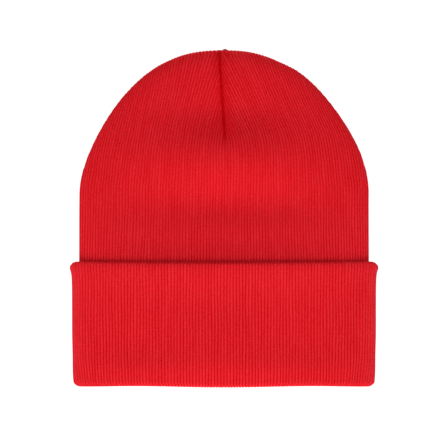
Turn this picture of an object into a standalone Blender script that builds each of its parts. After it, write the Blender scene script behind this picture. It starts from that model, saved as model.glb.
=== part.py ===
"""A cuffed rib-knit beanie lying flat on its back, built from its knitted layers, dart seams and label.

Metres, +Z up from the surface it lies on, +Y towards the crown. The origin is on that surface,
under the middle of the outline. The hat is a double tube: a shell outside and a lining inside,
each closed at the crown by four sewn darts, with both layers turned up together as the cuff.
Run with: blender --background --python part.py
"""

import math

import bmesh
import bpy
from mathutils import Vector

MM = 0.001

# The hat as it lies, with its cuff turned up
LENGTH = 235.2 * MM
CUFF_WIDTH = 210.8 * MM
CUFF_HEIGHT = 87.0 * MM
CROWN_WIDTH = 201.2 * MM
HEAD_GAP = 11.0 * MM  # the slit that a head opens

# The knit and how closely its layers lie
KNIT = 1.6 * MM
TOUCH = 0.4 * MM
SLIDE_GAP = 0.6 * MM  # cuff to crown, so that the cuff can be turned down
LINING_GAP = 1.0 * MM  # shell to lining inside the cuff
CROWN_AIR = 1.2 * MM  # added to that gap in the crown, where the darts need room
SEAM_ROOM = 5.0 * MM  # added between shell and lining along the crown's edge

# The darts and what closes the top
FRONT_DART_POINT = 173.0 * MM  # above the cuff's fold
SIDE_DART_POINT = 148.0 * MM
SEAM_WIDTH = 3.2 * MM
SEAM_THICKNESS = 0.9 * MM
KNOT_RADIUS = 1.4 * MM
KNOT_HEIGHT = 1.0 * MM

# The blank care label inside the back, and the two bars of stitches that hold it
LABEL_SIZE = (24.0 * MM, 30.0 * MM, 0.5 * MM)
LABEL_CORNER = 1.5 * MM
LABEL_ABOVE_FOLD = 34.0 * MM
BAR_TACK_SIZE = (6.0 * MM, 1.2 * MM, 0.4 * MM)
BAR_TACK_GAP = 0.3 * MM

# Worked out from those
HEM_Y = -LENGTH / 2
CUFF_WALL = 2 * KNIT + TOUCH
SHELL_DEPTH = CUFF_WALL + SLIDE_GAP  # from the cuff's face to the shell
HEM_DEPTH = SHELL_DEPTH + 2 * KNIT + LINING_GAP  # through the cuff to the lining's inside
THICKNESS = 2 * HEM_DEPTH + HEAD_GAP
FOLD_RADIUS = HEM_DEPTH / 2
EDGE_RADIUS = CUFF_WALL / 2
LAYER_END = FOLD_RADIUS + TOUCH  # where the layers inside the fold stop
CUFF_LEVELS = [CUFF_HEIGHT * share for share in (0.35, 0.65, 0.82, 0.91)]
SHELL_TIP = LENGTH - KNOT_HEIGHT - TOUCH

# The shape of the flattened tube
SIDES = 48  # corners of a ring
ROUND_RINGS = 10  # around the crown's round part
LAST_RING = 0.998  # the last ring's share of the way to the tip
TOP_POWER = 3.2  # how squarely the front bulges to its sides
BACK_POWER = 6.0
BACK_PRESS = 1.06  # how far the back would sink if the surface weren't there
CORNER_FLARE = 1.4 * MM  # how far the cuff's upper corners stand out
FLARE_LENGTH = 4.0 * MM

# The crown's outline and its profile from the side, above the cuff
OUTLINE_START = 133.7 * MM  # where its sides begin to come in
OUTLINE_EASE = 0.3  # how gently they begin to
OUTLINE_ROUND = 2.52
PROFILE_START = 125.0 * MM
PROFILE_POWER = 8.0
SETTLE = (CUFF_HEIGHT + 2.0 * MM, CUFF_HEIGHT + 26.0 * MM)  # where the back comes down to the surface
TIP_MIDDLE = 8.5 * MM  # height of the crown's edge at its tip

RED = (0.60, 0.009, 0.016, 1.0)
THREAD_RED = (0.42, 0.006, 0.012, 1.0)
LABEL_WHITE = (0.78, 0.76, 0.72, 1.0)


def smooth(value, low, high):
    """0 before low, 1 after high, and an even S between them."""
    share = min(1.0, max(0.0, (value - low) / (high - low)))
    return share * share * (3 - 2 * share)


def ring(half_width, low, middle, high, y):
    """A closed ring of the flattened tube at one distance from the fold."""
    points = []
    for corner in range(SIDES):
        angle = 2 * math.pi * corner / SIDES
        across = math.cos(angle)
        if math.sin(angle) >= 0:
            rise = math.sqrt(max(0.0, 1 - abs(across) ** TOP_POWER))
            z = middle + (high - middle) * rise
        else:
            drop = math.sqrt(max(0.0, 1 - abs(across) ** BACK_POWER))
            z = max(low, middle - (middle - low) * BACK_PRESS * drop)
        points.append(Vector((half_width * across, HEM_Y + y, z)))
    return points


def cuff_ring(depth, y):
    """A ring of the cuff, that far in from its outer face."""
    flare = CORNER_FLARE * math.exp(min(0.0, y - CUFF_HEIGHT) / FLARE_LENGTH)
    half_width = CUFF_WIDTH / 2 + flare - depth
    return ring(half_width, depth, THICKNESS / 2, THICKNESS - depth, y)


def outline(y, tip):
    """Half the crown's width as a share of its full half width."""
    if y <= OUTLINE_START:
        return 1.0
    share = min(1.0, (y - OUTLINE_START) / (tip - OUTLINE_START))
    bend = (math.hypot(share, OUTLINE_EASE) - OUTLINE_EASE) / (math.hypot(1.0, OUTLINE_EASE) - OUTLINE_EASE)
    return (1 - bend) ** (1 / OUTLINE_ROUND)


def profile(y, tip):
    """The crown's depth on one side of its edge, as a share of its full depth."""
    if y <= PROFILE_START:
        return 1.0
    share = min(1.0, (y - PROFILE_START) / (tip - PROFILE_START))
    return math.sqrt(1 - share**PROFILE_POWER)


def crown_levels(y, depth, side_depth, tip_depth):
    """(half width, lowest, edge and highest z) of a crown surface, that far in from the shell's face."""
    tip = SHELL_TIP - tip_depth
    half_width = (CROWN_WIDTH / 2 - side_depth) * outline(y, tip)
    middle = THICKNESS / 2 + (TIP_MIDDLE - THICKNESS / 2) * smooth(y, CUFF_HEIGHT, SHELL_TIP)
    floor = SHELL_DEPTH * (1 - smooth(y, *SETTLE))
    front = THICKNESS - SHELL_DEPTH - depth - THICKNESS / 2
    high = middle + front * profile(y, tip)
    low = middle - (middle - floor - depth) * profile(y, tip)
    return half_width, low, middle, high


def crown_ring(y, depth, side_depth, tip_depth):
    return ring(*crown_levels(y, depth, side_depth, tip_depth), y)


def shell_ring(y, inside):
    depth = KNIT if inside else 0.0
    return crown_ring(y, depth, depth, depth)


def lining_depths(y, inside):
    """How far the lining's face is in from the shell's, through the wall, at the sides and at the tip."""
    layer = KNIT if inside else 0.0
    loose = smooth(y, *SETTLE)
    depth = KNIT + LINING_GAP + CROWN_AIR * loose + layer
    side_depth = KNIT + LINING_GAP + SEAM_ROOM * loose + layer
    tip_depth = 2 * KNIT + SEAM_ROOM + LINING_GAP + layer
    return depth, side_depth, tip_depth


def lining_ring(y, inside):
    return crown_ring(y, *lining_depths(y, inside))


def heights(tip):
    """Where the crown's rings are: up the straight part, where its back settles, then closing in on the tip."""
    settling = [SETTLE[0] + (SETTLE[1] - SETTLE[0]) * share for share in (0.3, 0.6, 1.0)]
    straight = [LAYER_END, CUFF_HEIGHT / 2, CUFF_HEIGHT, *settling, PROFILE_START + 3 * MM]
    round_part = []
    for step in range(ROUND_RINGS):
        angle = math.asin(LAST_RING) * step / (ROUND_RINGS - 1)
        round_part.append(OUTLINE_START + (tip - OUTLINE_START) * math.sin(angle))
    return straight + round_part


def material(name, colour, roughness):
    made = bpy.data.materials.new(name)
    made.use_nodes = True
    shader = made.node_tree.nodes["Principled BSDF"]
    shader.inputs["Base Color"].default_value = colour
    shader.inputs["Roughness"].default_value = roughness
    shader.inputs["Metallic"].default_value = 0.0
    return made


def loft(name, rings, look, closed=False):
    """A solid skinned over rings of corners: capped at both ends, or closed from the last to the first."""
    mesh = bmesh.new()
    rows = [[mesh.verts.new(point) for point in points] for points in rings]
    count = len(rings[0])
    pairs = list(zip(rows, rows[1:]))
    if closed:
        pairs.append((rows[-1], rows[0]))
    else:
        mesh.faces.new(rows[0])
        mesh.faces.new(rows[-1])
    for first, second in pairs:
        for corner in range(count):
            beside = (corner + 1) % count
            mesh.faces.new((first[corner], first[beside], second[beside], second[corner]))
    bmesh.ops.recalc_face_normals(mesh, faces=mesh.faces)
    data = bpy.data.meshes.new(name)
    mesh.to_mesh(data)
    mesh.free()
    data.shade_smooth()
    data.materials.append(look)
    made = bpy.data.objects.new(name, data)
    bpy.context.scene.collection.objects.link(made)
    return made


def closed_cap(name, ring_at, tip_outside, tip_inside, look):
    """A cap of one knitted layer: up its inside, and back down its outside, from crown tip to hem."""
    inside = [ring_at(y, True) for y in reversed(heights(tip_inside))]
    outside = [ring_at(y, False) for y in heights(tip_outside)]
    return loft(name, inside + outside, look)


def turn(depth_from, depth_to, y, radius, up, steps):
    """Rings around a half-round fold of the cuff, from one depth to the other, bulging up or down."""
    rings = []
    for step in range(steps + 1):
        angle = math.pi * step / steps
        depth = (depth_from + depth_to) / 2 - (depth_to - depth_from) / 2 * math.cos(angle)
        rings.append(cuff_ring(depth, y + (radius if up else -radius) * math.sin(angle)))
    return rings


def cuff_face(look):
    """The cuff's visible layer, with the fold at the brim and the rolled edge at its top."""
    face_in, wall_in = KNIT, CUFF_WALL - KNIT
    brim_in = HEM_DEPTH - KNIT
    brim_y, edge_y = FOLD_RADIUS, CUFF_HEIGHT - EDGE_RADIUS
    outer = turn(HEM_DEPTH, 0.0, brim_y, FOLD_RADIUS, False, 8)
    outer += [cuff_ring(0.0, y) for y in CUFF_LEVELS]
    outer += turn(0.0, CUFF_WALL, edge_y, EDGE_RADIUS, True, 6)
    inner = turn(wall_in, face_in, edge_y, EDGE_RADIUS - KNIT, True, 4)
    inner += [cuff_ring(face_in, y) for y in reversed(CUFF_LEVELS)]
    inner += turn(face_in, brim_in, brim_y, FOLD_RADIUS - KNIT, False, 8)
    return loft("cuff_face", outer + inner, look, closed=True)


def cuff_backing(look):
    """The cuff's inner layer, between the face and the crown."""
    first = KNIT + TOUCH
    levels = [LAYER_END, *CUFF_LEVELS, CUFF_HEIGHT - EDGE_RADIUS - TOUCH]
    outer = [cuff_ring(first, y) for y in levels]
    inner = [cuff_ring(first + KNIT, y) for y in reversed(levels)]
    return loft("cuff_backing", outer + inner, look, closed=True)


def strip(name, centres, across, look):
    """An overlocked seam edge: a flat rounded strip along its centres, tapering to the dart's point."""
    rings = []
    last = len(centres) - 1
    for index, centre in enumerate(centres):
        along = (centres[min(index + 1, last)] - centres[max(index - 1, 0)]).normalized()
        side = across[index] - along * across[index].dot(along)
        side.normalize()
        up = along.cross(side)
        width = SEAM_WIDTH / 2 * (0.35 + 0.65 * min(1.0, 4 * index / last))
        corners = 10
        rings.append(
            [
                centre
                + side * width * math.cos(2 * math.pi * corner / corners)
                + up * SEAM_THICKNESS / 2 * math.sin(2 * math.pi * corner / corners)
                for corner in range(corners)
            ]
        )
    return loft(name, rings, look)


def wall_seam(name, x, front, look):
    """The seam of the front or back dart, lying between shell and lining, that far beside the middle."""
    steps = 9
    top = SHELL_TIP - 19 * MM
    depth = KNIT + (LINING_GAP + CROWN_AIR) / 2
    centres = []
    for step in range(steps):
        y = FRONT_DART_POINT + (top - FRONT_DART_POINT) * step / (steps - 1)
        _, low, _, high = crown_levels(y, depth, depth, depth)
        centres.append(Vector((x, HEM_Y + y, high if front else low)))
    return strip(name, centres, [Vector((1, 0, 0))] * steps, look)


def edge_seam(name, side, lift, look):
    """The seam of a side dart, along the crown's edge inside the shell, a little above or below its middle."""
    steps = 13
    inset = KNIT + 3.0 * MM
    reach = 0.93
    centres, across = [], []
    for step in range(steps):
        angle = math.asin(reach) * step / (steps - 1)
        y = SIDE_DART_POINT + (SHELL_TIP - SIDE_DART_POINT) * math.sin(angle)
        half_width, _, middle, _ = crown_levels(y, 0.0, 0.0, 0.0)
        nearby = crown_levels(y - 0.2 * MM, 0.0, 0.0, 0.0)[0]
        outward = Vector((0.2 * MM, nearby - half_width, 0)).normalized()
        outward.x *= side
        edge = Vector((side * half_width, HEM_Y + y, middle + lift))
        centres.append(edge - outward * inset)
        across.append(outward)
    return strip(name, centres, across, look)


def dart_seams(look):
    """The sewn edges of the four darts in the shell and the four in the lining."""
    beside = SEAM_WIDTH / 2 + TOUCH
    lift = SEAM_THICKNESS / 2 + 0.25 * MM
    for layer, x, rise in (("shell", -beside, lift), ("lining", beside, -lift)):
        wall_seam(f"{layer}_front_dart_seam", x, True, look)
        wall_seam(f"{layer}_back_dart_seam", x, False, look)
        edge_seam(f"{layer}_left_dart_seam", -1, rise, look)
        edge_seam(f"{layer}_right_dart_seam", 1, rise, look)


def crown_knot(look):
    """The thread knot that gathers the four darts on top."""
    mesh = bmesh.new()
    bmesh.ops.create_uvsphere(mesh, u_segments=14, v_segments=8, radius=KNOT_RADIUS)
    bmesh.ops.scale(mesh, vec=(1.0, KNOT_HEIGHT / (2 * KNOT_RADIUS), 0.9), verts=mesh.verts)
    data = bpy.data.meshes.new("crown_knot")
    mesh.to_mesh(data)
    mesh.free()
    data.shade_smooth()
    data.materials.append(look)
    made = bpy.data.objects.new("crown_knot", data)
    made.location = (0, LENGTH / 2 - KNOT_HEIGHT / 2, TIP_MIDDLE)
    bpy.context.scene.collection.objects.link(made)


def plate(name, size, corner, place, look):
    """A flat plate with rounded corners, centred on its place."""
    mesh = bmesh.new()
    bmesh.ops.create_cube(mesh, size=1.0)
    bmesh.ops.scale(mesh, vec=size, verts=mesh.verts)
    upright = [e for e in mesh.edges if abs(e.verts[0].co.z - e.verts[1].co.z) > size[2] / 2]
    bmesh.ops.bevel(mesh, geom=upright, offset=corner, segments=3, affect="EDGES")
    data = bpy.data.meshes.new(name)
    mesh.to_mesh(data)
    mesh.free()
    data.materials.append(look)
    made = bpy.data.objects.new(name, data)
    made.location = place
    bpy.context.scene.collection.objects.link(made)


def care_label(label, thread):
    """A blank woven tab on the back of the lining inside the hat, tacked down at its upper corners."""
    width, length, thickness = LABEL_SIZE
    y = HEM_Y + LABEL_ABOVE_FOLD
    top = HEM_DEPTH + TOUCH + thickness
    plate("care_label", LABEL_SIZE, LABEL_CORNER, (0, y, top - thickness / 2), label)
    tack_x = width / 2 - BAR_TACK_SIZE[0] / 2 - LABEL_CORNER
    tack_y = y + length / 2 - BAR_TACK_SIZE[1] / 2 - LABEL_CORNER
    tack_z = top + BAR_TACK_GAP + BAR_TACK_SIZE[2] / 2
    for side, x in (("left", -tack_x), ("right", tack_x)):
        plate(f"label_{side}_bar_tack", BAR_TACK_SIZE, BAR_TACK_SIZE[1] / 4, (x, tack_y, tack_z), thread)


def main():
    for leftover in list(bpy.data.objects):
        bpy.data.objects.remove(leftover, do_unlink=True)
    knit = material("red_knit", RED, 0.9)
    thread = material("red_thread", THREAD_RED, 0.75)
    label = material("label_weave", LABEL_WHITE, 0.8)
    closed_cap("crown_shell", shell_ring, SHELL_TIP, SHELL_TIP - KNIT, knit)
    lining_tips = [SHELL_TIP - lining_depths(LENGTH, inside)[2] for inside in (False, True)]
    closed_cap("crown_lining", lining_ring, *lining_tips, knit)
    cuff_face(knit)
    cuff_backing(knit)
    dart_seams(thread)
    crown_knot(thread)
    care_label(label, thread)


main()
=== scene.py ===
"""The looks of a cuffed rib-knit beanie lying flat: ribbed layers, dart seams, thread knot and care label.

Every layer is a double-walled sheet of knit whose columns follow the ribs, so that the ribs are real relief.
They stand straight in the cuff and the lower crown, and lean in to the sewn darts that close the crown.
Heights (y) are counted from the cuff's fold, and depths inwards from the face of the shell or the cuff.
"""

import math

import bmesh
import bpy
import numpy as np
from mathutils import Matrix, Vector


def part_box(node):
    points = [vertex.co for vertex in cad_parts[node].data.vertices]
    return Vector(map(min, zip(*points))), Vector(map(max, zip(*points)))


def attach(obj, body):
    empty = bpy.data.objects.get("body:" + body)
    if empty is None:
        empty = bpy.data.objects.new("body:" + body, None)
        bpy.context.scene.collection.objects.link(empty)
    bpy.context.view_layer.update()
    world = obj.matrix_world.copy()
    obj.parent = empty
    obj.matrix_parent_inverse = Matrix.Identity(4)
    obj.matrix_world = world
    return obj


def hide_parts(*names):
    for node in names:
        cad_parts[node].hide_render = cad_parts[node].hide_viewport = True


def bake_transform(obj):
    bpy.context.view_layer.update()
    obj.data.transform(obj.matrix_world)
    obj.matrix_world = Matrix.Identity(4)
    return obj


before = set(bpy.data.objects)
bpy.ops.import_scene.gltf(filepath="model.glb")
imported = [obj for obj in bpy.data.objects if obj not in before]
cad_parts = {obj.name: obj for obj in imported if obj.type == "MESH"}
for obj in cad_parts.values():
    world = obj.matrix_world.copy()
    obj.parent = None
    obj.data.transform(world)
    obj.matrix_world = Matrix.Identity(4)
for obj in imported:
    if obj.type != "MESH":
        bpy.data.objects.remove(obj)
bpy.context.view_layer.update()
MM = 0.001

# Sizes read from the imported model
CUFF_LOW, CUFF_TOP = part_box("cuff_face")
_, BACKING_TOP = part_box("cuff_backing")
SHELL_LOW, SHELL_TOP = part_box("crown_shell")
LABEL_LOW, LABEL_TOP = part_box("care_label")
KNOT_LOW, KNOT_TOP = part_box("crown_knot")
HEM_Y = CUFF_LOW.y
CUFF_HEIGHT = CUFF_TOP.y - HEM_Y
THICKNESS = CUFF_TOP.z
SHELL_DEPTH = THICKNESS - SHELL_TOP.z  # from the cuff's face to the shell
LAYER_END = SHELL_LOW.y - HEM_Y  # where the layers inside the fold stop
SHELL_TIP = SHELL_TOP.y - HEM_Y + 0.6 * MM  # a little proud, so that the knot sits on it
CROWN_HALF = SHELL_TOP.x
TIP_MIDDLE = (KNOT_LOW.z + KNOT_TOP.z) / 2

# The knit and how its layers lie
KNIT = 1.6 * MM
TOUCH = 0.4 * MM
LINING_GAP = 1.0 * MM
CROWN_AIR = 1.2 * MM  # more room between shell and lining in the crown
SEAM_ROOM = 5.0 * MM  # more room between them along the crown's edge
CUFF_WALL = 2 * KNIT + TOUCH
HEM_DEPTH = SHELL_DEPTH + 2 * KNIT + LINING_GAP
FOLD_RADIUS = HEM_DEPTH / 2
EDGE_RADIUS = CUFF_WALL / 2

# The cuff's outline
CUFF_PULL = 0.7 * MM  # how much narrower the knit is than the CAD's cuff, on each side
CUFF_HALF = BACKING_TOP.x + KNIT + TOUCH - CUFF_PULL
FLARE = 1.6 * MM  # how far the cuff's upper corners stand out
FLARE_START = CUFF_HEIGHT - 4.5 * MM
FLARE_LENGTH = 4.0 * MM
CORNER_RADIUS = 3.0 * MM
CORNER_REACH = 8.0 * MM  # how far below the upper edge its corners start to round
CUFF_SAG = 0.3 * MM  # how far the middle of the upper edge sags
CUFF_SAG_REACH = 30.0 * MM
WAIST = 0.4 * MM  # how far the sides pull in above the fold
WAIST_Y = 19.0 * MM
WAIST_REACH = 12.0 * MM
HEM_WAVE = 0.5 * MM
HEM_WAVE_LENGTH = 118.0 * MM
HEM_WAVE_REACH = 25.0 * MM
HEM_LIFT = 0.7 * MM

# The crown's outline and its profile from the side
OUTLINE_START = 133.7 * MM
OUTLINE_EASE = 0.3
OUTLINE_ROUND = 2.52
SIDE_FULLNESS = {1: 0.9 * MM, -1: -0.3 * MM}  # how the right and left sides differ from that
SIDE_FULLNESS_Y = 166.0 * MM
SIDE_FULLNESS_REACH = 22.0 * MM
TOP_FULLNESS = {1: -2.6 * MM, -1: -0.5 * MM}  # the same just below the tip
TOP_FULLNESS_Y = 229.0 * MM
TOP_FULLNESS_REACH = 6.0 * MM
NARROWEST = 0.05 * MM  # half the crown's width at its very tip
PROFILE_START = 125.0 * MM
PROFILE_POWER = 14.0
SETTLE = (CUFF_HEIGHT + 2.0 * MM, CUFF_HEIGHT + 26.0 * MM)  # where the crown comes down to lie flat
FRONT_POWER = 3.2  # the higher, the flatter the front and the squarer its sides
BACK_POWER = 6.0
BACK_PRESS = 1.06  # the share of its room that the back would fill, if it weren't pressed flat
BACK_EASE = 0.3 * MM  # how softly it comes down to what it lies on

# The ribs
QUARTER_RIBS = 51  # from a front or back middle to an edge
RIB_STEPS = 6  # columns of the mesh in one rib
INNER_RIB_STEPS = 4  # the same in the layers that hardly show
RIB_DEPTH = 0.7 * MM
RIB_ROUND = 0.7  # the lower, the fuller the ribs and the narrower their grooves
RIB_VARIETY = 0.14
RIB_STRAY = 0.30 * MM  # how far a rib wanders sideways
STRAY_LENGTHS = (35.0, 90.0)  # over how many mm it goes there and back
COURSE = 1.35 * MM  # one row of stitches
TABLE_STEPS = 260
KNIT_UV = "ribs_and_courses"
MERGE = 0.0005 * MM  # closer points become one

# Painted shade in the ribs' grooves, in and beside the seams and over the upper crown, as marks on the mesh
# that the knit's colour follows
CROWN_SOFTER = 0.4  # how much less painted shade the ribs' grooves get in the stretched crown
SOFTER_AT_CUFF = 0.4  # the share of that which they have just above the cuff
CUFF_SOFTER = 0.2  # how much less painted shade the ribs' grooves get towards the cuff's upper edge
SIDE_SOFTER = 0.8  # and along the cuff's sides
SIDE_SOFTER_REACH = 10.0 * MM
SEAM_SHADE = 0.9 * MM  # how far to each side of a deep seam its painted shade reaches
SEAM_TAPER = 0.7  # how many ribs have ended on the seam where its painted shade is darkest
SEAM_VALLEY_SHADE = 0.25  # how dark the painted shade of a broad shallow crease beside a seam is, as a share of the seam's
SEAM_VALLEY_REACH = 6.0 * MM
CROWN_SHADE = 0.15  # and how dark the painted shade over the whole upper crown is, as a share of that too
FAR = 1.0  # a distance, in metres, that is far from any seam

# The darts
DART_POINT = 173.0 * MM
DART_EASE = 9.0 * MM
SIDE_DART_POINT = 148.0 * MM
SEAM_LOW_X = 0.7 * MM  # where the front seam is at its point
SEAM_HIGH_X = -3.5 * MM  # and at the tip
SEAM_LEAN = {1: 0.42, -1: 0.37}  # how much the ribs lean beside the seam, right and left
SEAM_REACH = {1: 60.0 * MM, -1: 42.0 * MM}  # how fast that lean dies away
SEAM_START = 0.01  # how much of a rib has ended on the seam where it begins
SEAM_GROOVE = 0.5 * MM  # how close to a seam the ribs run out
TIP_TIGHTEN = 0.22  # how much closer the ribs lie at the tip
CREASE = 1.2 * MM
CREASE_WIDTH = 1.4 * MM
CREASE_HALVES = 1.0 * MM  # at this depth the crease is half as deep
CREASE_END = 4.0 * MM  # how far below the tip it starts to run out
BACK_CREASE = 0.5  # how deep it is at the back, as a share of the front's

# Broad, soft shapes of the crown's front: (x, y, reach across, reach along, height) in mm
CROWN_RELIEF = (
    (2, 160, 62, 23, 7.8),
    (4, 129, 62, 14, -2.8),
    (0, 99, 110, 9, -1.3),
    (1, 188, 36, 13, -1.5),
    (0.7, 174, 4, 6, -0.8),
)
# The same on the cuff's front
CUFF_RELIEF = (
    (0, 89, 140, 20, 4.4),
    (0, 16, 110, 14, 0.9),
    (0, 36, 26, 20, 0.7),
    (0, 2, 120, 8, -1.7),
    (-58, 28, 22, 16, -1.0),
    (52, 28, 22, 16, -1.0),
)
BOTTOM_LEAN = 6.0 * MM  # how far the ribs are drawn in at the cuff's lower corners
BOTTOM_LEAN_HEIGHT = 22.0 * MM
BOTTOM_LEAN_START = 4.0 * MM  # how fast that comes on from the side
BOTTOM_LEAN_REACH = 16.0 * MM  # and how fast it dies away further in
EDGE_ROUNDING = 0.6 * MM  # how far the cuff's face falls away towards its upper edge
EDGE_ROUNDING_REACH = 6.0 * MM

# Colours, and how the knit's colour varies, with painted shade and a painted sheen in it
# The knit's light colour is its paler yarn and also a pinker painted sheen on the ribs' tops; its dark
# colour is its darker yarn and also the painted shade in grooves and seams.
KNIT_LIGHT_AND_SHEEN = (0.86, 0.028, 0.042)
KNIT_RED = (0.72, 0.004, 0.009)
KNIT_DARK_AND_SHADE = (0.56, 0.000, 0.001)
THREAD_LIGHT = (0.74, 0.012, 0.022)
THREAD_DARK = (0.34, 0.002, 0.006)
LABEL_LIGHT = (0.80, 0.78, 0.74)
LABEL_DARK = (0.60, 0.58, 0.54)
STITCH_SLOPE = 0.75  # how many courses a stitch's two arms drop from a rib's middle to its grooves
PAINTED_GROOVE_SHADE = 0.76  # how much the painted shade darkens the ribs' grooves
GROOVE_LEAST = 0.17  # the least share of that in any patch
GROOVE_PATCHES = 1.7  # and how much more there can be
# how much the painted shade of the seams, the creases beside them and the upper crown darkens the knit
PAINTED_SEAM_SHADE = 0.5

# Sewing thread and what is sewn with it
THREAD = 0.22 * MM  # its radius
SEAM_WIDTH = 3.2 * MM
SEAM_POINT_WIDTH = 0.35  # how wide a cut edge is at its dart's point, as a share of its full width
SEAM_WIDENING = 0.25  # the share of its length in which it gets its full width
SEAM_THICKNESS = 0.9 * MM
SEAM_CORE = SEAM_THICKNESS * 0.4  # the radius of the strands inside a cut edge
CORE_STRANDS = (-0.6, 0.0, 0.6)  # where they lie across it
SEAM_ASIDE = 0.5 * MM  # the room between a cut edge and the seam's middle
SEAM_APART = 0.25 * MM  # half the room between the shell's cut edges and the lining's
STITCH = 2.4 * MM  # from one overlock stitch to the next
STITCH_POINTS = 10
WALL_SEAM_END = 19.0 * MM  # how far below the tip the front and back cut edges stop
EDGE_SEAM_INSET = KNIT + 3.0 * MM
EDGE_SEAM_END = 0.93  # how far towards the tip the left and right ones run
KNOT_TURNS = 4.5
KNOT_HALF = 0.95 * MM  # half the way along its turns
KNOT_RING = 0.42 * MM  # their radius
KNOT_WOBBLE = 0.12 * MM
KNOT_SINK = 0.2 * MM  # how far its middle lies below the CAD knot's
KNOT_STEM = 0.55 * MM  # the radius of the threads that run down from it
TACK_STITCHES = 16
TACK_STITCH_POINTS = 6
TACK_SINK = 0.1 * MM
TACK_HEIGHT = 0.28 * MM
TACK_RUN = 0.25 * MM  # how far its two runs of thread lie from its middle
LABEL_CURL = 0.9 * MM
LABEL_RIPPLE = 0.12 * MM
LABEL_HEM = 0.10 * MM  # how much thicker the turned-in side edges are
LABEL_HEM_START = 0.88  # where they start, as a share of the half width
LABEL_RIM_UNDER = 0.12 * MM  # how far its underside rises towards its rim
LABEL_RIM_OVER = 0.14 * MM  # and how far its upper side falls

RNG = np.random.default_rng(7)


def smooth(value, low, high):
    share = np.clip((value - low) / (high - low), 0.0, 1.0)
    return share * share * (3 - 2 * share)


def nearness(value, spot, reach):
    """1 at a spot, falling away softly to both sides."""
    return np.exp(-(((value - spot) / reach) ** 2))


def relief(spots, x, y):
    """The height that broad soft spots add at a place."""
    total = 0.0
    for spot_x, spot_y, across, along, height in spots:
        near = ((x / MM - spot_x) / across) ** 2 + ((y / MM - spot_y) / along) ** 2
        total = total + height * MM * np.exp(-near)
    return total


# ---------------------------------------------------------------- the layers' surfaces


def section(middle_x, half_width, low, middle, high, side, back):
    """Tables of x, z and share of the half width, from the middle to an edge, a row for each height."""
    turn = np.linspace(0, math.pi / 2, TABLE_STEPS)[None, :]
    x = middle_x + (side * half_width - middle_x) * np.sin(turn)
    share = np.clip(np.abs(x) / half_width, 0.0, 1.0)
    if back:
        drop = middle - (middle - low) * BACK_PRESS * np.sqrt(1 - share**BACK_POWER)
        above = drop - low
        z = low + (above + np.sqrt(above**2 + BACK_EASE**2)) / 2
        z = low + (z - low) * (middle - low) / (z[:, -1:] - low)
    else:
        z = middle + (high - middle) * np.sqrt(1 - share**FRONT_POWER)
    return x, z, share


def outline(y, tip):
    """Half the crown's width as a share of its full half width."""
    share = np.clip((y - OUTLINE_START) / (tip - OUTLINE_START), 0.0, 1.0)
    full_bend = math.hypot(1.0, OUTLINE_EASE) - OUTLINE_EASE
    bend = (np.hypot(share, OUTLINE_EASE) - OUTLINE_EASE) / full_bend
    return (1 - np.minimum(bend, 1.0)) ** (1 / OUTLINE_ROUND)


def crown_half(y, side, side_depth, tip):
    """Half the crown's width, with what its right and left sides differ by."""
    fullness = SIDE_FULLNESS[side] * nearness(y, SIDE_FULLNESS_Y, SIDE_FULLNESS_REACH)
    fullness = fullness + TOP_FULLNESS[side] * nearness(y, TOP_FULLNESS_Y, TOP_FULLNESS_REACH)
    return np.maximum((CROWN_HALF - side_depth) * outline(y, tip) + fullness, NARROWEST)


def profile(y, tip):
    """The crown's depth on one side of its edge, as a share of its full depth."""
    share = np.clip((y - PROFILE_START) / (tip - PROFILE_START), 0.0, 1.0)
    return np.sqrt(1 - share**PROFILE_POWER)


def edge_height(y):
    """How high the crown's edge is above the surface that the hat lies on."""
    return THICKNESS / 2 + (TIP_MIDDLE - THICKNESS / 2) * smooth(y, CUFF_HEIGHT, SHELL_TIP)


def seam_x(y):
    """Where the front seam runs: it leans a little."""
    share = np.clip((y - DART_POINT) / (SHELL_TIP - DART_POINT), 0.0, 1.0)
    return SEAM_LOW_X * smooth(y, CUFF_HEIGHT, DART_POINT) + (SEAM_HIGH_X - SEAM_LOW_X) * share


def hem_wave(x, y):
    """How far the hem's gentle wave lifts a place near it."""
    wave = HEM_LIFT - HEM_WAVE * np.cos(2 * math.pi * x / HEM_WAVE_LENGTH)
    return wave * (1 - smooth(y, 0.0, HEM_WAVE_REACH))


def crown_table(y, side, back, depth, side_depth, tip_depth):
    """Points (rows, steps, 3) of one quarter of a crown layer's face, from its middle to its edge."""
    y = y[:, None]
    if np.ndim(depth):  # the lining's depths, which differ from row to row
        depth, side_depth = depth[:, None], side_depth[:, None]
    tip = SHELL_TIP - tip_depth
    half_width = crown_half(y, side, side_depth, tip)
    middle = edge_height(y)
    floor = SHELL_DEPTH * (1 - smooth(y, *SETTLE))
    high = middle + (THICKNESS / 2 - SHELL_DEPTH - depth) * profile(y, tip)
    low = middle - (middle - floor - depth) * profile(y, tip)
    middle_x = 0.0 * y if back else np.clip(seam_x(y), -half_width / 2, half_width / 2)
    x, z, share = section(middle_x, half_width, low, middle, high, side, back)
    dart = smooth(y, DART_POINT - DART_EASE, DART_POINT + 2 * DART_EASE) * smooth(tip - y, 0.0, CREASE_END)
    deepest = CREASE / (1 + depth / CREASE_HALVES) * dart
    crease = deepest * np.exp(-np.abs((x - middle_x) / CREASE_WIDTH) ** 1.5)
    if back:
        z = z + crease * BACK_CREASE
    else:
        z = z + relief(CROWN_RELIEF, x, y) * (1 - share**4) * profile(y, tip) ** 2 - crease
        z = z + relief(CUFF_RELIEF, x, y) * (1 - share**8)  # what lies on it lifts the crown too
    return np.stack([x, HEM_Y + y + hem_wave(x, y), z], axis=-1)


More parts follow.
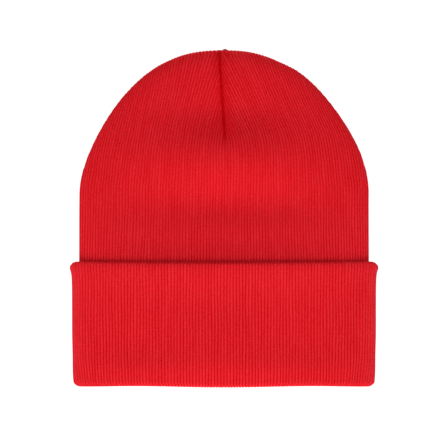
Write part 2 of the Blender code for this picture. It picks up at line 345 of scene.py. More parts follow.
def lining_depths(y, inside):
    """How far a lining face is in from the shell's, through the wall, at the sides and at the tip."""
    layer = KNIT if inside else 0.0
    loose = smooth(y, *SETTLE)
    depth = KNIT + LINING_GAP + CROWN_AIR * loose + layer
    side_depth = KNIT + LINING_GAP + SEAM_ROOM * loose + layer
    tip_depth = 2 * KNIT + SEAM_ROOM + LINING_GAP + layer
    return depth, side_depth, tip_depth


def shell_depths(y, inside):
    layer = KNIT if inside else 0.0
    return layer, layer, layer


def along_path(place, lengths, values):
    """Three-part values, given at lengths along a path, read at places along it."""
    return np.stack([np.interp(place, lengths, values[:, axis]) for axis in range(3)], axis=1)


def arc_lengths(table):
    steps = np.linalg.norm(np.diff(table, axis=1), axis=2)
    return np.concatenate([np.zeros((len(table), 1)), np.cumsum(steps, axis=1)], axis=1)


def crown_quarter(rows, depths, side, back):
    """One quarter of a crown layer and its rib numbers: past their points, the ribs end on the darts."""
    table = crown_table(rows, side, back, *depths)
    arcs = arc_lengths(table)
    last_straight = int(np.searchsorted(rows, SIDE_DART_POINT)) - 1
    full = arcs[:, -1].copy()
    full[last_straight:] = full[last_straight]
    tighten = 1 + TIP_TIGHTEN * smooth(rows, SIDE_DART_POINT, SHELL_TIP)
    above = rows - DART_POINT
    easing = (np.clip(above, -DART_EASE, DART_EASE) + DART_EASE) ** 2 / (4 * DART_EASE)
    risen = np.maximum(above, easing)
    lean = SEAM_LEAN[side] * np.exp(-arcs / SEAM_REACH[side])
    return table, QUARTER_RIBS * (arcs * tighten[:, None] + lean * risen[:, None]) / full[:, None]


def cuff_quarter(path, side, back):
    """One quarter of the cuff along a path of (depth, height) pairs, and its rib numbers."""
    depth, y = np.array(path).T[:, :, None]
    half_width = CUFF_HALF - depth
    x, z, share = section(0.0 * y, half_width, depth, THICKNESS / 2, THICKNESS - depth, side, back)
    arcs = arc_lengths(np.stack([x, np.broadcast_to(y, x.shape), z], axis=-1))
    from_edge = arcs[:, -1:] - arcs
    drawn = BOTTOM_LEAN * (1 - smooth(y, 0.0, BOTTOM_LEAN_HEIGHT))
    drawn = drawn * (1 - np.exp(-from_edge / BOTTOM_LEAN_START)) * np.exp(-from_edge / BOTTOM_LEAN_REACH)
    numbers = QUARTER_RIBS * (arcs + drawn * arcs / arcs[:, -1:]) / arcs[:, -1:]
    rise = np.exp(np.minimum(0.0, y - FLARE_START) / FLARE_LENGTH)
    if not back:
        z = z + relief(CUFF_RELIEF, x, y) * (1 - share**8)
        z = z - EDGE_ROUNDING * smooth(y, CUFF_HEIGHT - EDGE_ROUNDING_REACH, CUFF_HEIGHT) ** 2
    sag = CUFF_SAG * (1 - (x / CUFF_HALF) ** 2) * smooth(y, CUFF_HEIGHT - CUFF_SAG_REACH, CUFF_HEIGHT)
    waist = WAIST * nearness(y, WAIST_Y, WAIST_REACH) * share**6
    into_corner = np.clip(1 - (1 - share) * half_width / CORNER_RADIUS, 0.0, 1.0)
    corner = CORNER_RADIUS * (1 - np.sqrt(1 - into_corner**2))
    corner = corner * smooth(y, CUFF_HEIGHT - CORNER_REACH, CUFF_HEIGHT)
    x = x + side * (FLARE * rise * share**10 - waist)
    return np.stack([x, HEM_Y + y + hem_wave(x, y) - sag - corner, z], axis=-1), numbers


# ---------------------------------------------------------------- from tables to knitted meshes


def rib_height(ribs, depth):
    """How far the face stands from its ribs' tops at a rib number: round ribs and narrow grooves."""
    return depth * (np.abs(np.sin(math.pi * ribs)) ** RIB_ROUND - 1)


def rib_wander(columns, y):
    """How far each column strays sideways at each height, as (rows, columns)."""
    ribs = QUARTER_RIBS + 1
    lengths = RNG.uniform(*STRAY_LENGTHS, ribs) * MM
    phases = RNG.uniform(0, 2 * math.pi, ribs)
    stray = RIB_STRAY * np.sin(2 * math.pi * y[:, None] / lengths + phases)
    stray = (np.roll(stray, 1, axis=1) + 2 * stray + np.roll(stray, -1, axis=1)) / 4
    stray[:, [0, -1]] = 0.0
    return np.stack([np.interp(columns, np.arange(ribs), row) for row in stray])


def quarter_grid(table, numbers, columns, depth, is_crown, flip):
    """(rows, columns, 5): points whose columns follow their rib numbers, and each point's two marks.

    Past a dart's point the columns gather on the dart. The groove_shade mark says how much painted shade the
    ribs' grooves get, and the seam mark how much painted shade falls in a seam, beside it and on the upper
    crown.
    """
    normals = np.cross(np.gradient(table, axis=1), np.gradient(table, axis=0)) * flip
    normals /= np.maximum(np.linalg.norm(normals, axis=2, keepdims=True), 1e-12)
    arcs = arc_lengths(table)
    variety = RNG.normal(1.0, RIB_VARIETY, QUARTER_RIBS)
    rib_depths = variety[np.minimum(columns.astype(int), QUARTER_RIBS - 1)]
    heights = table[:, 0, 1] - HEM_Y
    up_crown = smooth(heights, CUFF_HEIGHT, SIDE_DART_POINT)
    up_cuff = smooth(heights, 0.5 * CUFF_HEIGHT, CUFF_HEIGHT)
    wander = rib_wander(columns, heights)
    grid = np.zeros((len(table), len(columns), 5))
    for row in range(len(table)):
        place = np.interp(columns, numbers[row], arcs[row])
        from_edge = arcs[row, -1] - place
        to_seam = place if numbers[row, 0] > SEAM_START else FAR
        to_edge = from_edge if is_crown and heights[row] > SIDE_DART_POINT else FAR
        nearest = np.minimum(to_seam, to_edge) * np.ones(len(columns))
        fade = smooth(nearest, 0.0, SEAM_GROOVE)
        place = np.clip(place + wander[row] * fade, 0.0, arcs[row, -1])
        point = along_path(place, arcs[row], table[row])
        normal = along_path(place, arcs[row], normals[row])
        height = rib_height(columns, depth) * rib_depths * fade - depth * (1 - fade)
        grid[row, :, :3] = point + normal * height[:, None]
        if is_crown:
            # painted shade in the ribs' grooves, weaker in the stretched crown
            grid[row, :, 3] = 1 - CROWN_SOFTER * (SOFTER_AT_CUFF + (1 - SOFTER_AT_CUFF) * up_crown[row])
            # painted shade over the upper crown
            grid[row, :, 4] = CROWN_SHADE * up_crown[row]
        else:
            # painted shade in the ribs' grooves, weaker near the cuff's sides and upper edge
            beside = 1 - SIDE_SOFTER * nearness(from_edge, 0.0, SIDE_SOFTER_REACH)
            grid[row, :, 3] = beside * (1 - CUFF_SOFTER * up_cuff[row])
        ended = min(1.0, numbers[row, 0] / SEAM_TAPER)
        # painted shade in and right beside a seam
        grid[row, :, 4] += ended * nearness(nearest, 0.0, SEAM_SHADE)
        # painted shade for the broad shallow crease along a seam
        grid[row, :, 4] += ended * SEAM_VALLEY_SHADE * nearness(to_seam, 0.0, SEAM_VALLEY_REACH)
    return grid


def ring_grid(quarter_at, steps, depth, is_crown, facing):
    """A layer's ribbed face all around, as (rows, around, 5), and the rib number of each column."""
    columns = np.linspace(0, QUARTER_RIBS, QUARTER_RIBS * steps + 1)
    half, whole = 2 * QUARTER_RIBS, 4 * QUARTER_RIBS
    quarters = []
    for side, back in ((1, False), (1, True), (-1, True), (-1, False)):
        flip = side * (-1 if back else 1) * facing
        quarters.append(quarter_grid(*quarter_at(side, back), columns, depth, is_crown, flip))
    front_right, back_right, back_left, front_left = quarters
    around = [front_right, back_right[:, -2::-1], back_left[:, 1:], front_left[:, -2:0:-1]]
    numbers = [columns, half - columns[-2::-1], half + columns[1:], whole - columns[-2:0:-1], [whole]]
    return np.concatenate(around, axis=1), np.concatenate(numbers)


def with_tip(grid):
    """The grid with one more row, gathered to a point."""
    tip = np.broadcast_to(grid[-1].mean(axis=0), grid[-1].shape)
    return np.concatenate([grid, tip[None]], axis=0)


def knit_mesh(name, face, plain, numbers, closed_tip):
    """A double-walled sheet: a ribbed face and a plain one, a column to a rib, joined at their rims."""
    if closed_tip:
        face, plain = with_tip(face), with_tip(plain)
    points, faces, uvs = [], [], []
    starts = []
    for grid, ribs in ((face, numbers), (plain, np.arange(4 * QUARTER_RIBS + 1.0))):
        start = sum(len(part) for part in points)
        starts.append(start)
        rows, count = grid.shape[:2]
        courses = run_lengths(grid[:, 0, :3]) / COURSE
        for row in range(rows - 1):
            for column in range(count):
                beside = (column + 1) % count
                low, high = start + row * count, start + (row + 1) * count
                faces.append((low + column, low + beside, high + beside, high + column))
                uvs += [(ribs[column], courses[row]), (ribs[column + 1], courses[row])]
                uvs += [(ribs[column + 1], courses[row + 1]), (ribs[column], courses[row + 1])]
        points.append(grid.reshape(-1, 5))
    face_count, plain_count = face.shape[1], plain.shape[1]
    steps = face_count // plain_count
    rims = [(0, 0)] if closed_tip else [(0, 0), (len(face) - 1, len(plain) - 1)]
    for face_row, plain_row in rims:
        face_start = starts[0] + face_row * face_count
        plain_start = starts[1] + plain_row * plain_count
        for rib in range(plain_count):
            ring = [face_start + (rib * steps + step) % face_count for step in range(steps + 1)]
            ring += [plain_start + (rib + 1) % plain_count, plain_start + rib]
            faces.append(tuple(ring))
            uvs += [(rib + step / steps, 0.0) for step in range(steps + 1)]
            uvs += [(rib + 1.0, 0.0), (rib + 0.0, 0.0)]
    points = np.concatenate(points)
    # marks of painted shade: in the ribs' grooves, and in and beside seams and over the upper crown
    marks = {"groove_shade": points[:, 3], "seam": points[:, 4]}
    return mesh_piece(name, points[:, :3], faces, uvs, KNIT_UV, marks)


def mesh_piece(name, points, faces, uvs, uv_name, marks=None):
    """A smooth, closed mesh object with a UV map and marks on its points, its collapsed faces removed."""
    data = bpy.data.meshes.new(name)
    data.from_pydata(np.asarray(points).tolist(), [], faces)
    layer = data.uv_layers.new(name=uv_name)
    layer.data.foreach_set("uv", np.array(uvs, np.float32).ravel())
    for mark, values in (marks or {}).items():
        attribute = data.attributes.new(mark, "FLOAT", "POINT")
        attribute.data.foreach_set("value", np.asarray(values, np.float32))
    mesh = bmesh.new()
    mesh.from_mesh(data)
    bmesh.ops.remove_doubles(mesh, verts=mesh.verts, dist=MERGE)
    bmesh.ops.dissolve_degenerate(mesh, edges=mesh.edges, dist=MERGE)
    bmesh.ops.recalc_face_normals(mesh, faces=mesh.faces)
    mesh.to_mesh(data)
    mesh.free()
    data.shade_smooth()
    return add_object(name, data)


def add_object(name, data):
    made = bpy.data.objects.new(name, data)
    bpy.context.scene.collection.objects.link(made)
    return made


# ---------------------------------------------------------------- the four knitted layers


def crown_rows(tip, lower_step, dome_rows):
    """Heights of the crown's rows: a few inside the cuff, then up to the tip and closer and closer."""
    hidden_rows, almost_tip = 5, 0.99999
    hidden_end, lower_start = CUFF_HEIGHT - 6 * MM, CUFF_HEIGHT - 1 * MM
    hidden = np.linspace(LAYER_END, hidden_end, hidden_rows)
    lower = np.arange(lower_start, OUTLINE_START - lower_step / 2, lower_step)
    turn = np.linspace(0, math.asin(almost_tip), dome_rows)
    return np.concatenate([hidden, lower, OUTLINE_START + (tip - OUTLINE_START) * np.sin(turn)])


def crown_layer(name, depths_at, faces_out, steps, lower_step, dome_rows):
    """A closed layer of the crown, ribbed on the side that shows."""
    plain_dome_rows = 18
    grids = {}
    for inside in (False, True):
        ribbed = inside != faces_out
        tip_depth = depths_at(np.array([SHELL_TIP]), inside)[2]
        rows = crown_rows(SHELL_TIP - tip_depth, lower_step, dome_rows if ribbed else plain_dome_rows)
        depths = depths_at(rows, inside)
        grids[ribbed] = ring_grid(
            lambda side, back: crown_quarter(rows, depths, side, back),
            steps if ribbed else 1,
            RIB_DEPTH if ribbed else 0.0,
            is_crown=True,
            facing=1 if faces_out else -1,
        )
    face, numbers = grids[True]
    plain, _ = grids[False]
    return knit_mesh(name, face, plain, numbers, closed_tip=True)


def turn_path(depth_from, depth_to, y, radius, up, steps):
    """(depth, height) pairs around a half-round fold, from one depth to the other, bulging up or down."""
    bulge = radius if up else -radius
    path = []
    for step in range(steps + 1):
        angle = math.pi * step / steps
        depth = (depth_from + depth_to) / 2 - (depth_to - depth_from) / 2 * math.cos(angle)
        path.append((depth, y + bulge * math.sin(angle)))
    return path


def cuff_layer(name, face_path, plain_path, steps, facing):
    """A sleeve of the cuff, ribbed along one path of (depth, height) pairs and plain along the other."""

    def face_at(side, back):
        return cuff_quarter(face_path, side, back)

    def plain_at(side, back):
        return cuff_quarter(plain_path, side, back)

    face, numbers = ring_grid(face_at, steps, RIB_DEPTH, is_crown=False, facing=facing)
    plain, _ = ring_grid(plain_at, 1, 0.0, is_crown=False, facing=facing)
    return knit_mesh(name, face, plain, numbers, closed_tip=False)


def make_cuff_face():
    """The cuff's visible layer, from inside the fold at the brim, up the face and over its upper edge."""
    face_rows = 34
    brim_y, edge_y = FOLD_RADIUS, CUFF_HEIGHT - EDGE_RADIUS
    rise = [brim_y + (edge_y - brim_y) * step / face_rows for step in range(1, face_rows)]
    outer = turn_path(HEM_DEPTH, 0.0, brim_y, FOLD_RADIUS, up=False, steps=16)
    outer += [(0.0, y) for y in rise]
    outer += turn_path(0.0, CUFF_WALL, edge_y, EDGE_RADIUS, up=True, steps=10)
    inner = turn_path(HEM_DEPTH - KNIT, KNIT, brim_y, FOLD_RADIUS - KNIT, up=False, steps=8)
    inner += [(KNIT, y) for y in rise[1::3]]
    inner += turn_path(KNIT, CUFF_WALL - KNIT, edge_y, EDGE_RADIUS - KNIT, up=True, steps=4)
    return cuff_layer("cuff_face_knit", outer, inner, RIB_STEPS, facing=1)


def make_cuff_backing():
    """The cuff's inner layer, between the face and the crown."""
    backing_rows = 14
    first = KNIT + TOUCH
    levels = np.linspace(LAYER_END, CUFF_HEIGHT - EDGE_RADIUS - TOUCH, backing_rows)
    outer = [(first, y) for y in levels]
    inner = [(first + KNIT, y) for y in levels]
    return cuff_layer("cuff_backing_knit", inner, outer, INNER_RIB_STEPS, facing=-1)


# ---------------------------------------------------------------- threads, seams and label


def run_lengths(path):
    """How far along a path each of its points is."""
    return np.concatenate([[0.0], np.cumsum(np.linalg.norm(np.diff(path, axis=0), axis=1))])


def tube(path, radius, sides=6):
    """(points, faces, uvs) of a round thread along a path, closed at both ends."""
    path = np.asarray(path, float)
    along = np.gradient(path, axis=0)
    along /= np.linalg.norm(along, axis=1, keepdims=True)
    across = np.cross(along[0], (0.3, 0.5, 0.8))
    points, faces, uvs = [], [], []
    for step, centre in enumerate(path):
        across = across - along[step] * np.dot(across, along[step])
        across /= np.linalg.norm(across)
        up = np.cross(along[step], across)
        for side in range(sides):
            angle = 2 * math.pi * side / sides
            points.append(centre + radius * (across * math.cos(angle) + up * math.sin(angle)))
    run = run_lengths(path) / MM
    for step in range(len(path) - 1):
        for side in range(sides):
            beside = (side + 1) % sides
            low, high = step * sides, (step + 1) * sides
            faces.append((low + side, low + beside, high + beside, high + side))
            uvs += [(side / sides, run[step]), ((side + 1) / sides, run[step])]
            uvs += [((side + 1) / sides, run[step + 1]), (side / sides, run[step + 1])]
    for ring in (range(sides), range((len(path) - 1) * sides, len(path) * sides)):
        faces.append(tuple(ring))
        uvs += [(0.0, 0.0)] * sides
    return points, faces, uvs


def sewn_piece(name, tubes):
    """One object of several threads."""
    points, faces, uvs = [], [], []
    for tube_points, tube_faces, tube_uvs in tubes:
        start = len(points)
        points += list(tube_points)
        faces += [tuple(corner + start for corner in face) for face in tube_faces]
        uvs += tube_uvs
    return mesh_piece(name, points, faces, uvs, "along_the_thread")


def overlocked_edge(name, centres, across, up):
    """A dart's cut edge: a soft core wound over with overlock stitches, narrower at the dart's point."""
    run = run_lengths(centres)
    widening = np.minimum(1.0, run / run[-1] / SEAM_WIDENING)
    width = SEAM_WIDTH / 2 * (SEAM_POINT_WIDTH + (1 - SEAM_POINT_WIDTH) * widening)
    tubes = []
    for strand in CORE_STRANDS:
        core = centres + across * (width * strand)[:, None]
        tubes.append(tube(core, SEAM_CORE, sides=8))
    spots = np.linspace(0, run[-1], int(run[-1] / STITCH * STITCH_POINTS))
    angle = 2 * math.pi * spots / STITCH
    reach = np.interp(spots, run, width) + THREAD
    wound = along_path(spots, run, centres)
    wound += along_path(spots, run, across) * (reach * np.cos(angle))[:, None]
    wound += along_path(spots, run, up) * ((SEAM_CORE + THREAD) * np.sin(angle))[:, None]
    tubes.append(tube(wound, THREAD))
    return sewn_piece(name, tubes)


def wall_seam_path(x, back):
    """Centres, across and up of the front or back dart's cut edge, lying between shell and lining."""
    depth = KNIT + (LINING_GAP + CROWN_AIR) / 2
    y = np.linspace(DART_POINT, SHELL_TIP - WALL_SEAM_END, 40)
    table = crown_table(y, 1 if x > 0 else -1, back, depth, depth, depth)
    middle = 0.0 * y if back else seam_x(y)
    heights = []
    for row, start in zip(table, middle):
        heights.append(np.interp(abs(x), np.abs(row[:, 0] - start), row[:, 2]))
    centres = np.stack([middle + x, HEM_Y + y, heights], axis=1)
    return frame_path(centres, np.tile((1.0, 0.0, 0.0), (len(y), 1)))


def edge_seam_path(side, lift):
    """The same for a side dart, along the crown's edge inside the shell, a little above or below it."""
    turn = np.linspace(0, math.asin(EDGE_SEAM_END), 50)
    y = SIDE_DART_POINT + (SHELL_TIP - SIDE_DART_POINT) * np.sin(turn)
    half_width = crown_half(y, side, 0.0, SHELL_TIP)
    edge = np.stack([side * half_width, HEM_Y + y, edge_height(y) + lift], axis=1)
    along = np.gradient(edge, axis=0)
    outward = np.stack([side * along[:, 1], -side * along[:, 0], 0 * y], axis=1)
    outward /= np.linalg.norm(outward, axis=1, keepdims=True)
    return frame_path(edge - outward * EDGE_SEAM_INSET, outward)


def frame_path(centres, across):
    """A path's centres, and its directions across and up, square to it and to each other."""
    along = np.gradient(centres, axis=0)
    along /= np.linalg.norm(along, axis=1, keepdims=True)
    across = across - along * np.sum(across * along, axis=1, keepdims=True)
    across /= np.linalg.norm(across, axis=1, keepdims=True)
    return centres, across, np.cross(along, across)


def make_dart_seams():
    """The cut edges of the four darts in the shell and the four in the lining, by CAD node."""
    beside = SEAM_WIDTH / 2 + TOUCH + SEAM_ASIDE
    lift = SEAM_THICKNESS / 2 + SEAM_APART
    made = {}
    for layer, x, rise in (("shell", -beside, lift), ("lining", beside, -lift)):
        paths = {
            "front": wall_seam_path(x, back=False),
            "back": wall_seam_path(x, back=True),
            "left": edge_seam_path(-1, rise),
            "right": edge_seam_path(1, rise),
        }
        for way, path in paths.items():
            made[f"{layer}_{way}_dart_seam"] = overlocked_edge(f"{layer}_{way}_dart_stitches", *path)
    return made


def make_knot():
    """The thread knot that gathers the four darts on top: a few tight turns and two clipped ends."""
    centre = np.array((SEAM_LOW_X, (KNOT_LOW.y + KNOT_TOP.y) / 2 - KNOT_SINK, TIP_MIDDLE))
    angle = np.linspace(0, 2 * math.pi * KNOT_TURNS, 120)
    spread = np.linspace(-1, 1, len(angle))
    x = KNOT_HALF * spread + KNOT_WOBBLE * np.sin(angle * 3)
    ring = KNOT_RING * np.sqrt(1 - 0.55 * spread**2)  # smaller towards both ends
    turns = np.stack([x, ring * np.cos(angle) - 0.15 * MM, 1.5 * ring * np.sin(angle)], axis=1) + centre
    ends = []
    for side in (-1, 1):
        t = np.linspace(0, 1, 12)
        end = np.stack([side * (0.5 + 0.9 * t), 0.1 - 0.5 * t**2, 0.3 * side + 0.5 * t * side], axis=1) * MM
        ends.append(tube(end + centre, THREAD))
    stem = centre + np.array([(0, -dip, 0) for dip in (0.0, 0.4 * MM, 0.9 * MM, 1.5 * MM)])
    tubes = [tube(turns, THREAD * 1.1), tube(stem, KNOT_STEM, sides=8), *ends]
    return sewn_piece("crown_knot_thread", tubes)


def make_label():
    """A blank woven tab with turned-in side edges, flat where it is tacked and curling at its free end."""
    columns, rows = 25, 31
    u, v = np.meshgrid(np.linspace(-1, 1, columns), np.linspace(0, 1, rows))
    half = (LABEL_TOP.x - LABEL_LOW.x) / 2
    x = u * half
    y = LABEL_LOW.y + (LABEL_TOP.y - LABEL_LOW.y) * v
    curl = LABEL_CURL * (1 - smooth(v, 0.0, 0.5)) * (0.7 + 0.3 * u)
    ripple = LABEL_RIPPLE * np.sin(x / (3.1 * MM)) * (1 - v)
    hem = LABEL_HEM * (np.abs(u) > LABEL_HEM_START)
    rim = np.maximum(np.abs(u), np.abs(2 * v - 1)) ** 12
    under = LABEL_LOW.z + curl + ripple + rim * LABEL_RIM_UNDER
    over = LABEL_TOP.z - LABEL_HEM + curl + ripple + hem - rim * LABEL_RIM_OVER
    points = np.concatenate([np.stack([x, y, z], axis=-1).reshape(-1, 3) for z in (over, under)])
    faces, uvs = [], []
    count = rows * columns
    for row in range(rows - 1):
        for column in range(columns - 1):
            corner = [row * columns + column, row * columns + column + 1]
            corner += [corner[1] + columns, corner[0] + columns]
            faces.append(tuple(corner))
            faces.append(tuple(count + spot for spot in reversed(corner)))
            uvs += [tuple(points[spot][:2] / MM) for spot in (*corner, *reversed(corner))]
    border = [row * columns for row in range(rows - 1)]
    border += [(rows - 1) * columns + column for column in range(columns - 1)]
    border += [row * columns + columns - 1 for row in range(rows - 1, 0, -1)]
    border += list(range(columns - 1, 0, -1))
    for first, second in zip(border, border[1:] + border[:1]):
        faces.append((first, second, count + second, count + first))
        uvs += [tuple(points[spot][:2] / MM) for spot in (first, second, second, first)]
    return mesh_piece("care_label_tape", points, faces, uvs, "across_and_along")


def make_bar_tack(node):
    """A bar tack: a close zigzag of satin stitches over two runs of thread."""
    low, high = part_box(node)
    middle_y, z = (low.y + high.y) / 2, low.z - TACK_SINK
    x = np.linspace(low.x, high.x, TACK_STITCHES * TACK_STITCH_POINTS)
    swing = np.cos(np.linspace(0, TACK_STITCHES * math.pi, len(x)))
    lift = TACK_HEIGHT * (1 - np.abs(swing) ** 5)
    paths = [np.stack([x, middle_y + swing * (high.y - low.y) / 2, z + lift], axis=1)]
    for run_y in (middle_y - TACK_RUN, middle_y + TACK_RUN):
        paths.append(np.array([(low.x, run_y, z), (high.x, run_y, z)]))
    name = node.replace("bar_tack", "satin_stitches")
    return sewn_piece(name, [tube(path, THREAD * 0.9) for path in paths])


# ---------------------------------------------------------------- materials


def new_look(name, colour, roughness, specular, sheen, sheen_tint):
    made = bpy.data.materials.new(name)
    made.use_nodes = True
    tree = made.node_tree
    shader = tree.nodes["Principled BSDF"]
    shader.inputs["Base Color"].default_value = (*colour, 1.0)
    shader.inputs["Roughness"].default_value = roughness
    shader.inputs["Specular IOR Level"].default_value = specular
    shader.inputs["Sheen Weight"].default_value = sheen
    shader.inputs["Sheen Roughness"].default_value = 0.5
    shader.inputs["Sheen Tint"].default_value = (*sheen_tint, 1.0)
    return made, tree, shader


def math_node(tree, operation, first, second=None, clamp=False):
    """A Math node whose inputs are sockets or numbers; returns its output."""
    node = tree.nodes.new("ShaderNodeMath")
    node.operation = operation
    node.use_clamp = clamp
    for socket, value in zip(node.inputs, (first, second)):
        if value is None:
            continue
        if isinstance(value, (int, float)):
            socket.default_value = value
        else:
            tree.links.new(value, socket)
    return node.outputs[0]


def weighted(tree, *terms):
    """The sum of (socket, weight) terms."""
    total = 0.0
    for socket, weight in terms:
        total = math_node(tree, "ADD", math_node(tree, "MULTIPLY", socket, weight), total)
    return total


def combine(tree, x, y):
    node = tree.nodes.new("ShaderNodeCombineXYZ")
    for socket, value in zip(node.inputs, (x, y)):
        tree.links.new(value, socket)
    return node.outputs[0]


def noise(tree, vector, scale, detail=2.0, roughness=0.5):
    node = tree.nodes.new("ShaderNodeTexNoise")
    node.inputs["Scale"].default_value = scale
    node.inputs["Detail"].default_value = detail
    node.inputs["Roughness"].default_value = roughness
    tree.links.new(vector, node.inputs["Vector"])
    return node.outputs["Fac"]


def ramp(tree, value, low, high, low_colour, high_colour, mid_colour=None):
    """A colour that goes from one to another, or by way of a third, as a value goes from low to high."""
    node = tree.nodes.new("ShaderNodeMapRange")
    node.inputs["From Min"].default_value = low
    node.inputs["From Max"].default_value = high
    tree.links.new(value, node.inputs["Value"])
    blend = tree.nodes.new("ShaderNodeValToRGB")
    stops = blend.color_ramp.elements
    stops[0].color = (*low_colour, 1.0)
    stops[1].color = (*high_colour, 1.0)
    if mid_colour:
        stops.new(0.55).color = (*mid_colour, 1.0)
    tree.links.new(node.outputs["Result"], blend.inputs["Fac"])
    return blend.outputs["Color"]


def bump(tree, shader, height, distance, strength):
    node = tree.nodes.new("ShaderNodeBump")
    node.inputs["Strength"].default_value = strength
    node.inputs["Distance"].default_value = distance
    tree.links.new(height, node.inputs["Height"])
    tree.links.new(node.outputs["Normal"], shader.inputs["Normal"])


def uv_parts(tree, name):
    uv = tree.nodes.new("ShaderNodeUVMap")
    uv.uv_map = name
    split = tree.nodes.new("ShaderNodeSeparateXYZ")
    tree.links.new(uv.outputs["UV"], split.inputs[0])
    return uv.outputs["UV"], split.outputs[0], split.outputs[1]


def mark(tree, name):
    node = tree.nodes.new("ShaderNodeAttribute")
    node.attribute_name = name
    return node.outputs["Fac"]


def knit_material():
    """Rib knit: each rib a column of V-shaped stitches in twisted, slightly fuzzy yarn, with painted shade
    in its grooves, seams and upper crown and a painted sheen on its ribs' tops.
    """
    made, tree, shader = new_look(
        "red_rib_knit", KNIT_RED, roughness=0.58, specular=0.03, sheen=0.02, sheen_tint=(1.0, 0.2, 0.2)
    )
    uv, ribs, courses = uv_parts(tree, KNIT_UV)
    across = math_node(tree, "SUBTRACT", math_node(tree, "FRACT", ribs), 0.5)
    off_centre = math_node(tree, "ABSOLUTE", across)
    out = math_node(tree, "MULTIPLY", off_centre, 2.0)  # 0 on a rib's middle, 1 in its grooves
    strand = math_node(tree, "FRACT", weighted(tree, (out, STITCH_SLOPE), (courses, 1.0)))
    bow = math_node(tree, "SUBTRACT", math_node(tree, "MULTIPLY", strand, 2.0), 1.0)
    loop = math_node(tree, "SUBTRACT", 1.0, math_node(tree, "MULTIPLY", bow, bow))
    centre_dip = math_node(tree, "MULTIPLY", out, 5.0, clamp=True)
    stitch = math_node(tree, "MULTIPLY", loop, centre_dip)
    twist = math_node(tree, "SINE", weighted(tree, (courses, 25.0), (out, -40.0)))
    fuzz = noise(tree, uv, scale=9.0, detail=4.0, roughness=0.7)
    height = weighted(tree, (stitch, 1.0), (twist, 0.08), (fuzz, 0.5))
    bump(tree, shader, height, distance=0.22 * MM, strength=0.6)
    patches = noise(tree, uv, scale=0.35, detail=3.0, roughness=0.6)
    mottle = noise(tree, uv, scale=0.9, detail=3.0, roughness=0.75)
    whole_rib = math_node(tree, "MULTIPLY", math_node(tree, "FLOOR", ribs), 7.3)  # each rib its own streaks
    streaks = noise(tree, combine(tree, whole_rib, math_node(tree, "MULTIPLY", courses, 0.05)), scale=1.0)
    # how strong the painted shade in the ribs' grooves is, patch by patch
    groove_shade_strength = math_node(tree, "MULTIPLY", patches, GROOVE_PATCHES)
    groove_shade_strength = math_node(tree, "ADD", groove_shade_strength, GROOVE_LEAST)
    groove_shade = math_node(tree, "MULTIPLY", math_node(tree, "POWER", out, 2.2), mark(tree, "groove_shade"))
    groove_shade = math_node(tree, "MULTIPLY", groove_shade, groove_shade_strength)
    yarn = weighted(tree, (patches, 0.25), (streaks, 0.35), (mottle, 0.7), (stitch, 0.2), (fuzz, 0.3))
    # painted shade of the ribs' grooves and of the seam mark darkens the yarn's own tone
    shade = weighted(tree, (yarn, 1.0), (groove_shade, -PAINTED_GROOVE_SHADE), (mark(tree, "seam"), -PAINTED_SEAM_SHADE))
    # the dark end of the ramp is partly painted shade, the light end partly a painted sheen
    colour = ramp(tree, shade, -0.02, 1.03, KNIT_DARK_AND_SHADE, KNIT_LIGHT_AND_SHEEN, mid_colour=KNIT_RED)
    tree.links.new(colour, shader.inputs["Base Color"])
    return made


def thread_material():
    """Polyester sewing thread, its two plies twisted together."""
    made, tree, shader = new_look(
        "red_sewing_thread", THREAD_LIGHT, roughness=0.5, specular=0.3, sheen=0.1, sheen_tint=(1.0, 0.4, 0.4)
    )
    uv, around, along = uv_parts(tree, "along_the_thread")
    ply = math_node(tree, "SINE", weighted(tree, (around, 4 * math.pi), (along, 9.0)))
    fuzz = noise(tree, uv, scale=6.0, detail=3.0)
    bump(tree, shader, weighted(tree, (ply, 0.5), (fuzz, 0.3)), distance=0.06 * MM, strength=0.8)
    colour = ramp(tree, weighted(tree, (ply, 0.25), (fuzz, 0.6)), 0.0, 0.6, THREAD_DARK, THREAD_LIGHT)
    tree.links.new(colour, shader.inputs["Base Color"])
    return made


def label_material():
    """Undyed tape in plain weave: threads pass over and under each other."""
    made, tree, shader = new_look(
        "label_weave", LABEL_LIGHT, roughness=0.7, specular=0.2, sheen=0.1, sheen_tint=(1.0, 1.0, 1.0)
    )
    uv, across, along = uv_parts(tree, "across_and_along")
    threads = 2 * math.pi * 2.2  # 2.2 pairs of threads in a millimetre
    warp = math_node(tree, "SINE", math_node(tree, "MULTIPLY", across, threads))
    weft = math_node(tree, "SINE", math_node(tree, "MULTIPLY", along, threads))
    weave = math_node(tree, "MULTIPLY", warp, weft)
    fuzz = noise(tree, uv, scale=4.0, detail=3.0)
    bump(tree, shader, weighted(tree, (weave, 0.5), (fuzz, 0.3)), distance=0.08 * MM, strength=0.7)
    colour = ramp(tree, weighted(tree, (weave, 0.25), (fuzz, 0.7)), 0.0, 0.8, LABEL_DARK, LABEL_LIGHT)
    tree.links.new(colour, shader.inputs["Base Color"])
    return made


# ---------------------------------------------------------------- putting the hat together


def dress(piece, look, node, body):
    """Give a piece its material, and let it ride for its CAD node; with no body it is left unattached."""
    piece.data.materials.append(look)
    if body:
        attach(piece, body)
    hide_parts(node)


knit = knit_material()
thread = thread_material()
label_look = label_material()

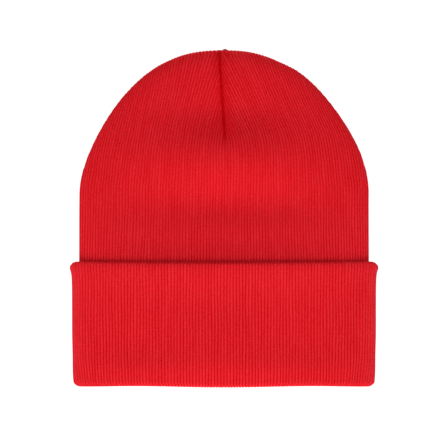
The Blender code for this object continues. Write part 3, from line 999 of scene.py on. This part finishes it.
shell = crown_layer(
    "crown_shell_knit",
    shell_depths,
    faces_out=True,
    steps=RIB_STEPS,
    lower_step=3.0 * MM,
    dome_rows=72,
)
lining = crown_layer(
    "crown_lining_knit",
    lining_depths,
    faces_out=False,
    steps=INNER_RIB_STEPS,
    lower_step=6.0 * MM,
    dome_rows=30,
)
cuff_face = make_cuff_face()
cuff_backing = make_cuff_backing()
dress(shell, knit, "crown_shell", "crown")
dress(lining, knit, "crown_lining", None)
dress(cuff_face, knit, "cuff_face", "cuff")
dress(cuff_backing, knit, "cuff_backing", "cuff")
for node, piece in make_dart_seams().items():
    dress(piece, thread, node, "crown")
dress(make_knot(), thread, "crown_knot", "crown")
label = make_label()
dress(label, label_look, "care_label", "crown")
for node in ("label_left_bar_tack", "label_right_bar_tack"):
    dress(make_bar_tack(node), thread, node, "crown")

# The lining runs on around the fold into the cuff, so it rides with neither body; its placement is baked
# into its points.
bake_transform(lining)

# ---------------------------------------------------------------- floor, light and camera


def area_light(name, location, size, power):
    """A square lamp that points at the hat."""
    data = bpy.data.lights.new(name, "AREA")
    data.size = size
    data.energy = power
    lamp = add_object(name, data)
    lamp.location = location
    lamp.rotation_euler = (-lamp.location).to_track_quat("-Z", "Y").to_euler()


FLOOR_HALF = 3.0
FLOOR_DROP = 0.6 * MM  # just below the hat
FLOOR_GLOW = 0.9  # it shines a little, so that it comes out white
WORLD_LIGHT = 0.315
VIEW_WIDTH = 310.7 * MM
VIEW_CENTRE = (0.0, -4.6 * MM, THICKNESS / 2)

floor_data = bpy.data.meshes.new("studio_floor")
floor_corners = [(FLOOR_HALF * x, FLOOR_HALF * y, 0) for x, y in ((-1, -1), (1, -1), (1, 1), (-1, 1))]
floor_data.from_pydata(floor_corners, [], [(0, 1, 2, 3)])
floor = add_object("studio_floor", floor_data)
floor.location.z = -FLOOR_DROP
floor_look, _, floor_shader = new_look(
    "white_floor", (0.35, 0.35, 0.35), roughness=0.9, specular=0.0, sheen=0.0, sheen_tint=(1, 1, 1)
)
floor_shader.inputs["Emission Color"].default_value = (1, 1, 1, 1)
floor_shader.inputs["Emission Strength"].default_value = FLOOR_GLOW
floor.data.materials.append(floor_look)

world = bpy.data.worlds.new("studio")
world.use_nodes = True
background = world.node_tree.nodes["Background"]
background.inputs["Color"].default_value = (1, 1, 1, 1)
background.inputs["Strength"].default_value = WORLD_LIGHT
bpy.context.scene.world = world
bpy.context.scene.view_settings.view_transform = "Standard"
area_light("key", location=(-0.26, -2.4, 1.9), size=2.4, power=96)
area_light("fill", location=(0.2, 2.2, 1.8), size=2.0, power=20)

camera_data = bpy.data.cameras.new("camera")
camera_data.lens = 135
camera_data.clip_end = 20
camera = add_object("camera", camera_data)
view_distance = VIEW_WIDTH * camera_data.lens / camera_data.sensor_width
camera.location = Vector(VIEW_CENTRE) + Vector((0, 0, view_distance))
bpy.context.scene.camera = camera
